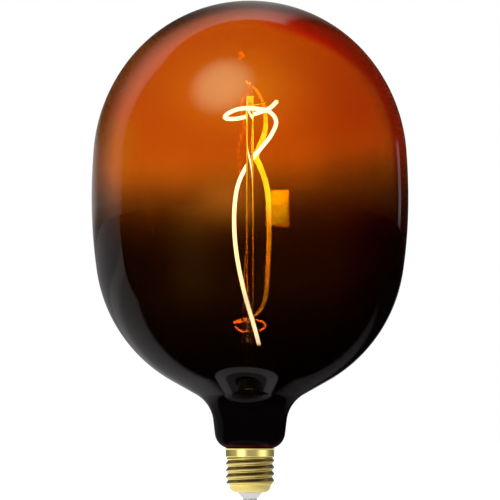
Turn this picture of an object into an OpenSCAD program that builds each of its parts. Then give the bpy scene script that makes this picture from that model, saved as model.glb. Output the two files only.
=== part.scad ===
// Globe lamp with a screw cap and one long flexible LED filament looped round a glass rod.
// Millimetres. The origin is the tip of the centre contact, on the lamp's axis, and +Z runs up to the crown.

/* [Globe] */
// Greatest radius of the glass globe
globe_r = 87.5; // [80:0.5:95]
// Wall thickness of the blown glass
glass_wall = 1.0; // [0.8:0.1:1.4]
// Radius of the nearly straight flank above the widest point
upper_flank_r = 349; // [300:1:400]
// Angle swept by the upper flank
upper_flank_angle = 4.5; // [3:0.1:6]
// Radius of the upper shoulder
upper_shoulder_r = 92; // [80:1:100]
// Slope of the wall normal where the crown dome takes over from the shoulder
crown_angle = 42; // [38:1:48]
// Radius of the flank below the widest point
lower_flank_r = 273; // [240:1:300]
// Angle swept by the lower flank
lower_flank_angle = 8.4; // [7:0.1:10]
// Radius of the lower shoulder
lower_shoulder_r = 83.3; // [76:0.1:88]

/* [Neck] */
// Slope of the wall normal on the straight cone that runs into the neck
cone_angle = 60.7; // [58:0.1:63]
// Radius of the hollow fillet between the cone and the neck
neck_fillet_r = 18.8; // [15:0.1:22]
// Radius of the neck just above its rounded heel
neck_r = 19.4; // [18:0.1:21]
// Taper of the neck towards the heel
neck_taper = 6.75; // [4:0.25:9]
// Length of the straight tapered neck
neck_len = 7.6; // [5:0.1:12]
// Radius of the rounded heel above the cap
heel_r = 9.5; // [8.5:0.1:10.5]
// Gap between the heel and the rim of the cap
seat_gap = 0.3; // [0.2:0.05:0.5]
// Radius of the glass tail that goes down inside the cap
tail_r = 11.4; // [10.5:0.1:11.5]
// How far the tail reaches below the rim of the cap
tail_depth = 8.4; // [7:0.1:10]

/* [Cap] */
// Height of the cap's rim above the tip of the contact
rim_z = 28.9; // [27:0.1:30]
// Outer radius of the plain skirt
skirt_r = 13.1; // [13.1:0.05:13.4]
// Height of the plain skirt
skirt_len = 4.5; // [4:0.1:6]
// How far the rim is flared outside the skirt
lip_flare = 0.35; // [0.1:0.05:0.5]
// Height of the flared rim
lip_h = 0.7; // [0.4:0.1:1]
// Thickness of the brass sheet
shell_wall = 0.3; // [0.25:0.01:0.35]
// Radius at the crests of the thread
crest_r = 13.05; // [12.95:0.01:13.08]
// Radius at the roots of the thread
root_r = 12.05; // [11.9:0.01:12.2]
// Pitch of the thread, seven turns to the inch
pitch = 3.629; // [3.4:0.001:3.9]
// Height of one crest on the +X side, which sets where the thread starts
crest_z = 14.81; // [13.5:0.01:16]
// Outer radius where the thread ends and the lower edge rolls in
toe_r = 11.25; // [11:0.01:11.5]
// Height at which the lower edge starts to roll in
toe_z = 8.6; // [8:0.1:9]
// Radius of the rolled lower edge
roll_r = 3.8; // [3.4:0.1:4.1]
// Clearance between the insulator or the cement and what it seats in
bed_gap = 0.1; // [0.05:0.01:0.15]

/* [Contact] */
// Radius of the centre contact
contact_r = 3.8; // [3.4:0.1:4.5]
// Thickness of the centre contact
contact_h = 1.2; // [1:0.1:1.5]
// Rounding of the contact's lower edge
contact_round = 0.7; // [0.4:0.1:0.9]
// Radius of the hole that the solder fills
solder_r = 1.0; // [0.8:0.1:1.3]
// Radius of the insulator where it leaves the rolled edge
collar_r = 7.2; // [6.8:0.1:7.3]
// Radius of the wire hole through the insulator
wire_hole_r = 0.9; // [0.7:0.1:1.2]

/* [Stem] */
// Outer radius of the stem tube
stem_r = 6.5; // [5.8:0.1:7]
// Wall thickness of the stem tube
stem_wall = 1.0; // [0.8:0.1:1.2]
// Height of the foot of the pinched seal
press_z = 54; // [48:0.5:60]
// Length over which the round tube turns into the flat seal
pinch_len = 7; // [5:0.5:9]
// Height of the flat seal above that
press_h = 7; // [5:0.5:9]
// Width of the flat seal
press_w = 15; // [13:0.5:17]
// Thickness of the flat seal
press_t = 5.5; // [4.5:0.1:6.5]
// Outer radius of the exhaust tube
exhaust_r = 2.0; // [1.7:0.1:2.4]
// Bore radius of the exhaust tube
exhaust_bore_r = 1.2; // [0.9:0.1:1.4]
// Length of the exhaust tube
exhaust_len = 31; // [24:0.5:33]
// Radius of the glass rod that carries the filament
rod_r = 1.9; // [1.6:0.1:2.2]
// Length of the rod above the seal
rod_len = 155.4; // [145:0.2:165]
// Rounding of the fire-polished end of the rod
rod_round = 0.4; // [0.2:0.1:0.8]
// Spread of each lead wire from the axis
lead_x = 4.0; // [3.4:0.1:4.4]
// Radius of the lead wires
lead_r = 0.3; // [0.2:0.05:0.4]
// Clearance round a wire or beside the rod
wire_gap = 0.05; // [0.03:0.01:0.1]

/* [Filament] */
// Diameter of the phosphor silicone jacket
jacket_d = 2.2; // [2:0.05:2.6]
// Width of the flexible strip inside the jacket
strip_w = 1.0; // [0.8:0.05:1.1]
// Thickness of the flexible strip
strip_t = 0.15; // [0.1:0.01:0.2]
// Length of one LED chip
chip_l = 0.7; // [0.5:0.05:1]
// Width of one LED chip
chip_w = 0.4; // [0.3:0.05:0.6]
// Height of one LED chip
chip_h = 0.2; // [0.12:0.01:0.22]
// Clearance round the strip and the chips
die_gap = 0.04; // [0.03:0.01:0.06]
// Length of the metal tab at each end
tab_len = 3.0; // [2.5:0.1:4]
// Distance from the top of the rod down to the support wire
anchor_drop = 4.9; // [4:0.1:6]
// Height above the seal at which the long lead wire reaches the rod
join_h = 76; // [60:1:90]

/* [Driver] */
// Outer radius of the plastic driver holder
holder_r = 10.3; // [9.8:0.1:10.5]
// Wall thickness of the driver holder
holder_wall = 0.6; // [0.5:0.05:0.8]
// Clearance under the stem flare and round the board
holder_gap = 0.3; // [0.2:0.05:0.4]
// Width of the ledge that carries the board
ledge_w = 1.0; // [0.8:0.1:1.4]
// Height of the ledge above the insulator
ledge_h = 3.9; // [3.7:0.1:4.5]
// Thickness of the circuit board
board_t = 1.0; // [0.8:0.1:1.6]
// Diameter of the smoothing capacitor
capacitor_d = 6.3; // [5:0.1:6.3]
// Height of the smoothing capacitor
capacitor_h = 6.6; // [5:0.1:6.8]
// Diameter of the choke
choke_d = 5.0; // [4:0.1:5.4]
// Height of the choke
choke_h = 6.0; // [5:0.1:6.5]
// Distance of the capacitor and of the choke from the axis
tall_y = 4.6; // [4.4:0.1:4.7]
// Length of the fusible resistor
fuse_len = 2.8; // [2.4:0.1:3]
// Diameter of the fusible resistor
fuse_d = 2.2; // [1.8:0.1:2.6]
// Distance of the rectifier and of the driver chip from the axis
flat_x = 4.9; // [4.7:0.1:5.1]

/* [Hidden] */
$fn = 96;
clear_glass = [0.75, 0.78, 0.76];
amber_glass = [0.55, 0.18, 0.05];
brass = [0.83, 0.72, 0.40];
wire_metal = [0.72, 0.72, 0.70];

// Outline of the envelope, as tangent arcs from the heel up to the crown
arc_step = 4;
lip_r = skirt_r + lip_flare;
heel_x = neck_r - heel_r * cos(neck_taper);
heel_z = rim_z + seat_gap + sqrt(pow(heel_r, 2) - pow(lip_r - heel_x, 2));
neck_top = [neck_r, heel_z - heel_r * sin(neck_taper)] + neck_len * [sin(neck_taper), cos(neck_taper)];
fillet_c = neck_top + neck_fillet_r * [cos(neck_taper), -sin(neck_taper)];
cone_low = fillet_c - neck_fillet_r * [cos(cone_angle), -sin(cone_angle)];
flank_side = lower_flank_r * (1 - cos(lower_flank_angle));
cone_top_r = globe_r - flank_side - lower_shoulder_r * (cos(lower_flank_angle) - cos(cone_angle));
cone_len = (cone_top_r - cone_low[0]) / sin(cone_angle);
cone_top = cone_low + cone_len * [sin(cone_angle), cos(cone_angle)];
lower_shoulder_c = cone_top - lower_shoulder_r * [cos(cone_angle), -sin(cone_angle)];
lower_flank_c = lower_shoulder_c - (lower_flank_r - lower_shoulder_r)
    * [cos(lower_flank_angle), -sin(lower_flank_angle)];
equator_z = lower_flank_c[1];
upper_flank_c = [globe_r - upper_flank_r, equator_z];
upper_shoulder_c = upper_flank_c + (upper_flank_r - upper_shoulder_r)
    * [cos(upper_flank_angle), sin(upper_flank_angle)];
crown_edge = upper_shoulder_c + upper_shoulder_r * [cos(crown_angle), sin(crown_angle)];
crown_r = crown_edge[0] / cos(crown_angle);
crown_c = [0, crown_edge[1] - crown_r * sin(crown_angle)];
tail_z = rim_z - tail_depth;

// Heights inside the cap and the stem
skirt_z = rim_z - skirt_len;
roll_x = toe_r - roll_r;
bed_r = roll_r - shell_wall - bed_gap;
bed_angle = 15;
insulator_top = toe_z - bed_r * sin(bed_angle);
ledge_z = insulator_top + ledge_h;
board_top = ledge_z + board_t;
board_r = holder_r - holder_wall - holder_gap;
fuse_z = insulator_top + 0.5;
flare_r = tail_r - glass_wall - stem_r;
tip_z = press_z - exhaust_len + exhaust_r;
press_top = press_z + pinch_len + press_h;
rod_top = press_top + rod_len;
anchor_z = rod_top - anchor_drop;
lead_turn = 150;
lead_out = rod_r + lead_r + wire_gap;
support_reach = rod_r + 0.9;

// Moulded packages that hang under the board, and their legs
rectifier_size = [4.7, 3.9, 1.6];
rectifier_pitch = 2.54;
chip_size = [4.9, 3.9, 1.5];
chip_pitch = 1.27;
leg_w = 0.5;
leg_t = 0.2;
leg_reach = 0.9;

// Route of the filament's centre line, each point as X, Y and the drop below the top of the rod
route = [[15, 7, 2.4], [10.5, 15.5, 6], [2, 19.5, 9], [-7, 19, 11.4], [-13.5, 12, 11.6], [-12.5, 3, 9.6],
    [-6, -4, 7.2], [3, -4, 7], [11, 2.5, 8.6], [14.5, 8, 14], [11.5, 9.5, 21.4], [6, 11, 28.4],
    [-1.5, 13, 37.6], [-6.5, 12.5, 48], [-8.5, 9.5, 60], [-8.7, 6.5, 73], [-7.6, 4, 86], [-5.2, 1, 99.5],
    [-2.1, -3, 112.5], [1.8, -6, 125.5], [5.1, -9, 138]];
route_steps = 4;
path = smooth_path([for (p = route) [p[0], p[1], rod_top - p[2]]], route_steps);
path_frames = frames_along(path, [1, 0, 0]);
path_end = len(path) - 1;
jacket_sides = 8;
wire_sides = 6;
// Distance of each weld from the end of the strip, and the face of the lower tab that the lead meets
weld_back = 1.8;
lower_side = 1;

function on_arc(centre, r, a) = centre + r * [cos(a), sin(a)];
function arc(centre, r, from, to) =
    let (n = ceil(abs(to - from) / arc_step))
    [for (i = [0:n]) on_arc(centre, r, from + (to - from) * i / n)];
function clamp(x, low, high) = max(low, min(high, x));
function ease(low, high, x) = let (t = clamp((x - low) / (high - low), 0, 1)) t * t * (3 - 2 * t);
function unit(v) = v / norm(v);
function square_to(v, t) = unit(v - (v * t) * t);
function turned(a, r, z) = [r * cos(a), r * sin(a), z];

// Outline of the envelope at a depth d under its outer face, from the tail up to the crown
function envelope_side(d) =
    let (heel_end = acos(clamp((tail_r - d - heel_x) / (heel_r - d), 0, 1)))
    concat([[tail_r - d, tail_z], [tail_r - d, heel_z - (heel_r - d) * sin(heel_end)]],
        arc([heel_x, heel_z], heel_r - d, -heel_end, -neck_taper),
        arc(fillet_c, neck_fillet_r + d, 180 - neck_taper, 180 - cone_angle),
        arc(lower_shoulder_c, lower_shoulder_r - d, -cone_angle, -lower_flank_angle),
        arc(lower_flank_c, lower_flank_r - d, -lower_flank_angle, 0),
        arc(upper_flank_c, upper_flank_r - d, 0, upper_flank_angle),
        arc(upper_shoulder_c, upper_shoulder_r - d, upper_flank_angle, crown_angle),
        arc(crown_c, crown_r - d, crown_angle, 90));

function reversed(list) = [for (i = [len(list) - 1:-1:0]) list[i]];

// A smooth curve through all the points, as a Catmull-Rom spline
function spline_point(a, b, c, d, t) =
    0.5 * (2 * b + (c - a) * t + (2 * a - 5 * b + 4 * c - d) * t * t + (3 * b - a - 3 * c + d) * t * t * t);
function smooth_path(pts, steps) =
    let (n = len(pts) - 1, before = 2 * pts[0] - pts[1], after = 2 * pts[n] - pts[n - 1])
    concat([for (i = [0:n - 1], s = [0:steps - 1])
        spline_point(i > 0 ? pts[i - 1] : before, pts[i], pts[i + 1],
            i < n - 1 ? pts[i + 2] : after, s / steps)],
        [pts[n]]);

// Frames that follow a path without twisting, each as tangent, normal and binormal
function tangent(pts, i) = unit(pts[min(i + 1, len(pts) - 1)] - pts[max(i - 1, 0)]);
function frames_along(pts, start) =
    let (last = len(pts) - 1)
    [for (i = 0, n = square_to(start, tangent(pts, 0)); i <= last;
        i = i + 1, n = square_to(n, tangent(pts, min(i, last))))
        [tangent(pts, i), n, cross(tangent(pts, i), n)]];

function ring_at(p, frame, section) = [for (q = section) p + q[0] * frame[1] + q[1] * frame[2]];
function round_section(r, sides) = [for (k = [0:sides - 1]) r * [cos(360 * k / sides), sin(360 * k / sides)]];
function side_faces(rings, sides, first, outward) = [for (i = [0:rings - 2], k = [0:sides - 1], half = [0, 1])
    let (a = first + i * sides + k, b = first + i * sides + (k + 1) % sides,
        face = half == 0 ? [a, a + sides, b] : [b, a + sides, b + sides])
    outward ? face : reversed(face)];
function ring_faces(outer, inner, sides, up) = [for (k = [0:sides - 1], half = [0, 1])
    let (m = (k + 1) % sides,
        face = half == 0 ? [outer + k, inner + k, outer + m] : [outer + m, inner + k, inner + m])
    up ? face : reversed(face)];

// A solid tube or strip along a path
module sweep(pts, frames, section) {
    sides = len(section);
    last = (len(pts) - 1) * sides;
    polyhedron([for (i = [0:len(pts) - 1]) each ring_at(pts[i], frames[i], section)],
        concat(side_faces(len(pts), sides, 0, true),
            [[for (k = [0:sides - 1]) k]], [[for (k = [sides - 1:-1:0]) last + k]]));
}

// A hollow tube along a path, with as many sides inside as outside
module sweep_hollow(pts, frames, section, bore) {
    sides = len(section);
    rings = len(pts);
    polyhedron(concat([for (i = [0:rings - 1]) each ring_at(pts[i], frames[i], section)],
            [for (i = [0:rings - 1]) each ring_at(pts[i], frames[i], bore)]),
        concat(side_faces(rings, sides, 0, true), side_faces(rings, sides, rings * sides, false),
            ring_faces(0, rings * sides, sides, false),
            ring_faces((rings - 1) * sides, (2 * rings - 1) * sides, sides, true)));
}

module wire(pts, r) sweep(pts, frames_along(pts, [0, 1, 0.01]), round_section(r, wire_sides));

// Puts a child drawn along +Z, with its thin side along X, at a point with the given frame
module seat_at(p, frame) multmatrix([
    [frame[1][0], frame[2][0], frame[0][0], p[0]],
    [frame[1][1], frame[2][1], frame[0][1], p[1]],
    [frame[1][2], frame[2][2], frame[0][2], p[2]],
    [0, 0, 0, 1]]) children();

module glass_envelope() color(amber_glass) rotate_extrude()
    polygon(concat(envelope_side(0), reversed(envelope_side(glass_wall))));

// Flared tube whose rim is fused to the end of the envelope's tail
module stem_flare() color(clear_glass) rotate_extrude() polygon(concat(
    [[tail_r, tail_z - stem_wall], [tail_r, tail_z]],
    arc([stem_r + flare_r, tail_z + flare_r], flare_r, 270, 180),
    [[stem_r, press_z], [stem_r - stem_wall, press_z]],
    arc([stem_r + flare_r, tail_z + flare_r], flare_r + stem_wall, 180, 270)));

module pinch_outline() hull() for (side = [-1, 1])
    translate([side * (press_w - press_t) / 2, 0]) circle(d = press_t, $fn = 32);

// Tube end pinched flat round the wires, with the exhaust hole in its side
module stem_press() color(clear_glass) difference() {
    union() {
        hull() {
            translate([0, 0, press_z]) linear_extrude(0.5) circle(stem_r, $fn = 32);
            translate([0, 0, press_z + pinch_len - 0.5]) linear_extrude(0.5) pinch_outline();
        }
        translate([0, 0, press_z + pinch_len - 0.5]) linear_extrude(press_h + 0.5) pinch_outline();
    }
    for (side = [-1, 1]) translate([side * lead_x, 0, press_z - 1])
        cylinder(r = lead_r + wire_gap, h = press_top - press_z + 2);
    translate([0, 0, press_z - 1]) cylinder(r = exhaust_bore_r, h = pinch_len + 1);
    translate([0, 0, press_z + pinch_len]) rotate([90, 0, 0]) cylinder(r = exhaust_bore_r, h = stem_r + 1);
}

// Thin tube under the seal, closed by its tip
module exhaust_tube() color(clear_glass) difference() {
    union() {
        translate([0, 0, tip_z]) cylinder(r = exhaust_r, h = press_z - tip_z);
        translate([0, 0, tip_z]) sphere(exhaust_r);
    }
    translate([0, 0, tip_z]) cylinder(r = exhaust_bore_r, h = exhaust_len);
}

// Solid rod that stands on the seal, with the support wire melted through it near the top
module glass_rod() color(clear_glass) difference() {
    rotate_extrude() polygon(concat([[0, press_top], [rod_r, press_top]],
        arc([rod_r - rod_round, rod_top - rod_round], rod_round, 0, 90), [[0, rod_top]]));
    translate([0, 0, anchor_z]) rotate([0, 90, lead_turn])
        translate([0, 0, -rod_r - 1]) cylinder(r = lead_r + wire_gap, h = 2 * rod_r + 2);
}

// Wire from the seal up to the rod and along it to the support wire
module long_lead_wire() color(wire_metal) wire([
    [-lead_x, 0, press_top],
    [-lead_x - 0.5, 0.8, press_top + 6],
    [-4.1, 2.6, press_top + 0.42 * join_h],
    [-3.2, 2.6, press_top + 0.7 * join_h],
    turned(lead_turn, lead_out, press_top + join_h),
    turned(lead_turn, lead_out, anchor_z - lead_r - wire_gap)], lead_r);

// Wire from the seal round to the lower end of the filament
module short_lead_wire() {
    weld = path[path_end] + weld_back * path_frames[path_end][0]
        + lower_side * (strip_t / 2 + wire_gap) * path_frames[path_end][1];
    color(wire_metal) wire([
        [lead_x, 0, press_top],
        [lead_x + 1, -0.6, press_top + 4],
        [9.5, -4, press_top + 8],
        [11, -7.5, weld[2] - 1.5],
        weld + lower_side * 2.2 * path_frames[path_end][1] + [0, 0, 0.4],
        weld], lead_r);
}

// The sealed-in part of each lead, inside the glass
module seal_wires() color("indianred") for (side = [-1, 1])
    translate([side * lead_x, 0, press_z]) cylinder(r = lead_r, h = press_top - press_z);

// The leads from the seal down to the board
module outer_lead_wires() color("peru") for (side = [-1, 1])
    translate([side * lead_x, 0, board_top]) cylinder(r = lead_r, h = press_z - board_top);

// Wire melted through the rod, which holds the upper end of the filament
module support_wire() {
    weld = path[0] - weld_back * path_frames[0][0] - (strip_t / 2 + wire_gap) * path_frames[0][1];
    color(wire_metal) wire([
        turned(lead_turn, lead_out + lead_r + 0.2, anchor_z),
        turned(lead_turn + 180, support_reach, anchor_z),
        turned(lead_turn + 180, support_reach, anchor_z) + [2.2, 0.5, 0.5],
        weld - 1.5 * path_frames[0][1],
        weld], lead_r);
}

module filament_jacket() {
    h = strip_t / 2 + chip_h + 2 * die_gap;
    w = strip_w / 2 + die_gap;
    color("gold") sweep_hollow(path, path_frames, round_section(jacket_d / 2, jacket_sides),
        [[h, 0], [h, w], [0, w], [-h, w], [-h, 0], [-h, -w], [0, -w], [h, -w]]);
}

module filament_strip() {
    h = strip_t / 2;
    w = strip_w / 2;
    color("white") sweep(path, path_frames, [[h, w], [-h, w], [-h, -w], [h, -w]]);
}

// One chip between each two steps of the path, on the outer face of the strip
module led_chips() color("skyblue") for (i = [0:path_end - 1]) {
    t = unit(path[i + 1] - path[i]);
    n = square_to(path_frames[i][1] + path_frames[i + 1][1], t);
    seat_at((path[i] + path[i + 1]) / 2, [t, n, cross(t, n)])
        translate([strip_t / 2 + die_gap, -chip_w / 2, -chip_l / 2]) cube([chip_h, chip_w, chip_l]);
}

module upper_end_tab() color("silver") seat_at(path[0], path_frames[0])
    translate([-strip_t / 2, -strip_w / 2, -tab_len]) cube([strip_t, strip_w, tab_len]);

module lower_end_tab() color("silver") seat_at(path[path_end], path_frames[path_end])
    translate([-strip_t / 2, -strip_w / 2, 0]) cube([strip_t, strip_w, tab_len]);

// Outer radius of the pressed shell between its rolled edge and its skirt
function shell_r(z, a) =
    let (body = root_r + (skirt_r - root_r) * ease(skirt_z - 0.6, skirt_z, z)
            + (toe_r - root_r) * (1 - ease(toe_z, toe_z + 0.9, z)),
        depth = (crest_r - root_r) * ease(toe_z + 0.2, toe_z + 1.3, z)
            * (1 - ease(skirt_z - 1.6, skirt_z - 0.5, z)))
    body + depth * (1 + cos(360 * (z - crest_z) / pitch - a)) / 2;

// Right-hand knuckle thread pressed in thin sheet, even in thickness, with its ends inside the turned parts
module thread_wall() {
    sides = 36;
    low = toe_z - 0.1;
    high = skirt_z + 0.1;
    rings = ceil(10 * (high - low) / pitch) + 1;
    seam = 0.02;
    levels = [for (i = [0:rings - 1]) low + (high - low) * i / (rings - 1)];
    angles = [for (k = [0:sides - 1]) 360 * k / sides];
    polyhedron(concat([for (z = levels, a = angles) turned(a, shell_r(z, a) - seam, z)],
            [for (z = levels, a = angles)
                turned(a, (shell_r(z, a) - shell_wall + seam) / cos(180 / sides), z)]),
        concat(side_faces(rings, sides, 0, true), side_faces(rings, sides, rings * sides, false),
            ring_faces(0, rings * sides, sides, false),
            ring_faces((rings - 1) * sides, (2 * rings - 1) * sides, sides, true)));
}

module cap_shell() color(brass) {
    thread_wall();
    rotate_extrude() polygon([[skirt_r - shell_wall, skirt_z], [skirt_r, skirt_z],
        [skirt_r, rim_z - lip_h], [lip_r, rim_z], [lip_r - shell_wall, rim_z],
        [skirt_r - shell_wall, rim_z - lip_h]]);
    rotate_extrude() polygon(concat(arc([roll_x, toe_z], roll_r, 0, -90),
        arc([roll_x, toe_z], roll_r - shell_wall, -90, 0)));
}

// Insulator bedded in the rolled edge, with the visible cone that carries the contact
module cap_insulator() color("whitesmoke") rotate_extrude() polygon(concat(
    [[wire_hole_r, contact_h], [contact_r, contact_h], [collar_r, toe_z - roll_r],
        [collar_r, toe_z - bed_r]],
    arc([roll_x, toe_z], bed_r, -90, -bed_angle), [[wire_hole_r, insulator_top]]));

module centre_contact() color("lightgrey") rotate_extrude() polygon(concat(
    arc([contact_r - contact_round, contact_round], contact_round, -90, 0),
    [[contact_r, contact_h], [solder_r, contact_h], [solder_r, 0]]));

module contact_solder() color("silver") cylinder(r = solder_r - wire_gap, h = contact_h);

// Cement ring between the glass tail and the skirt
module cap_cement() {
    top_z = envelope_side(0)[1][1] - seat_gap;
    color("wheat") translate([0, 0, skirt_z + bed_gap]) difference() {
        cylinder(r = skirt_r - shell_wall - bed_gap, h = top_z - skirt_z - bed_gap);
        translate([0, 0, -1]) cylinder(r = tail_r + bed_gap, h = top_z - skirt_z + 2);
    }
}

// Plastic sleeve on the insulator, with a ledge for the board and a hole for the shell wire
module driver_holder() {
    inner_r = holder_r - holder_wall;
    top_z = tail_z - stem_wall - holder_gap;
    color("dimgrey") difference() {
        rotate_extrude() polygon([[inner_r, insulator_top], [holder_r, insulator_top], [holder_r, top_z],
            [inner_r, top_z], [inner_r, ledge_z], [inner_r - ledge_w, ledge_z],
            [inner_r - ledge_w, ledge_z - ledge_w], [inner_r, ledge_z - 2 * ledge_w]]);
        translate([-inner_r + 1, 0, crest_z]) rotate([0, -90, 0])
            cylinder(r = lead_r + holder_gap, h = holder_wall + 2);
    }
}

module driver_board() color("seagreen") translate([0, 0, ledge_z]) cylinder(r = board_r, h = board_t);

// A flat moulded package that hangs under the board on bent legs
module flat_package(size, legs, leg_pitch) {
    translate([-size[0] / 2, -size[1] / 2, ledge_z - leg_t - size[2]]) cube(size);
    for (k = [0:legs - 1], y = [size[1] / 2 - leg_w, -size[1] / 2 - leg_reach])
        translate([(k - (legs - 1) / 2) * leg_pitch - leg_w / 2, y, ledge_z - leg_t])
            cube([leg_w, leg_reach + leg_w, leg_t]);
}

module bridge_rectifier() color("#222222") translate([-flat_x, 0, 0])
    flat_package(rectifier_size, 2, rectifier_pitch);

module driver_chip() color("#303030") translate([flat_x, 0, 0])
    flat_package(chip_size, 4, chip_pitch);

// Aluminium can with its crimp groove
module smoothing_capacitor() {
    r = capacitor_d / 2;
    groove = 0.4;
    color("slategrey") translate([0, -tall_y, board_top]) rotate_extrude() polygon([
        [0, 0], [r - 0.2, 0], [r, 0.2], [r, 1], [r - groove, 1.3], [r - groove, 1.6], [r, 1.9],
        [r, capacitor_h - 0.3], [r - 0.3, capacitor_h], [0, capacitor_h]]);
}

// Drum core with its winding
module choke() {
    r = choke_d / 2;
    core_r = r - 0.4;
    flange = 0.9;
    color("darkslategrey") translate([0, tall_y, board_top]) rotate_extrude() polygon([
        [0, 0], [r, 0], [r, flange], [core_r, flange], [core_r, choke_h - flange],
        [r, choke_h - flange], [r, choke_h], [0, choke_h]]);
}

// Fusible resistor that stands on the live wire
module fuse_resistor() {
    r = fuse_d / 2;
    end = 0.3;
    color("tan") translate([0, 0, fuse_z]) rotate_extrude() polygon([[0, 0], [r - end, 0], [r, end],
        [r, 0.8], [r - 0.15, 1], [r - 0.15, fuse_len - 1], [r, fuse_len - 0.8], [r, fuse_len - end],
        [r - end, fuse_len], [0, fuse_len]]);
}

// Wire from the contact to the resistor, and from the resistor to the board
module live_wire() color("firebrick") {
    translate([0, 0, contact_h]) cylinder(r = lead_r, h = fuse_z - contact_h);
    translate([0, 0, fuse_z + fuse_len]) cylinder(r = lead_r, h = ledge_z - fuse_z - fuse_len);
}

// Wire from the board to a root of the thread, on the -X side
module shell_wire() color("royalblue") wire([
    [-board_r + 1, 0, board_top],
    [-board_r + 1, 0, crest_z - 0.8],
    [-board_r + 0.2, 0, crest_z],
    [-root_r + shell_wall + bed_gap, 0, crest_z]], lead_r);

glass_envelope();
stem_flare();
stem_press();
exhaust_tube();
glass_rod();
long_lead_wire();
short_lead_wire();
seal_wires();
outer_lead_wires();
support_wire();
filament_jacket();
filament_strip();
led_chips();
upper_end_tab();
lower_end_tab();
cap_shell();
cap_insulator();
centre_contact();
contact_solder();
cap_cement();
driver_holder();
driver_board();
bridge_rectifier();
driver_chip();
smoothing_capacitor();
choke();
fuse_resistor();
live_wire();
shell_wire();
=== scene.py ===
from math import acos, ceil, copysign, cos, degrees, pi, radians, sin, sqrt

import bmesh
import bpy
from bpy.props import FloatProperty, FloatVectorProperty, IntProperty, PointerProperty
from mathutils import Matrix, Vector


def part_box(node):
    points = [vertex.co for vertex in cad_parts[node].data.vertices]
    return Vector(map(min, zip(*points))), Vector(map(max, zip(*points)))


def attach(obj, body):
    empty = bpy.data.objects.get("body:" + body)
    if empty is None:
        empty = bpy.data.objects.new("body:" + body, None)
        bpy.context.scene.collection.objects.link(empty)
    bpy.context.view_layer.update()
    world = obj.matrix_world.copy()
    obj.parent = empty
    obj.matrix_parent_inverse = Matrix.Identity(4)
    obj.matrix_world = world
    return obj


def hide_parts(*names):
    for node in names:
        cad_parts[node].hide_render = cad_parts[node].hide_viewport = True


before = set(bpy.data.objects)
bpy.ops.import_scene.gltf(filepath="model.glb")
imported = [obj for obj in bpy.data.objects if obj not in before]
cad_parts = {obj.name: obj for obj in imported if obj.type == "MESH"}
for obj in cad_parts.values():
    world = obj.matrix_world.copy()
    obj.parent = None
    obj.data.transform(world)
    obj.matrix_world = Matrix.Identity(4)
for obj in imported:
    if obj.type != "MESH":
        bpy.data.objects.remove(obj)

bl_info = {
    "name": "LED globe lamp",
    "version": (1, 0, 0),
    "blender": (4, 5, 0),
    "location": "3D View > Sidebar > Lamp",
    "description": "Dresses a smoked amber globe lamp with a screw cap and one looped LED filament",
    "category": "Object",
}

MM = 0.001
ROD_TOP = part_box("glass_rod")[1].z
RIM_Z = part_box("cap_shell")[1].z
TAIL_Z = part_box("glass_envelope")[0].z
PRESS_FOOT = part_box("stem_press")[0].z
PRESS_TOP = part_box("stem_press")[1].z


# Sums in node trees

def operator(operation, swapped=False):
    """An operator of Link, which adds a Math node."""
    def adds(self, value):
        return self.tree.sum(operation, *((value, self) if swapped else (self, value)))
    return adds


class Link:
    """One output socket, so that the sums of a node tree can be written as expressions."""

    def __init__(self, tree, socket):
        self.tree, self.socket = tree, socket

    def other(self, name):
        """Another output of the same node."""
        return Link(self.tree, self.socket.node.outputs[name])

    __add__ = __radd__ = operator("ADD")
    __mul__ = __rmul__ = operator("MULTIPLY")
    __sub__, __rsub__ = operator("SUBTRACT"), operator("SUBTRACT", True)
    __truediv__, __pow__ = operator("DIVIDE"), operator("POWER")


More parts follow.
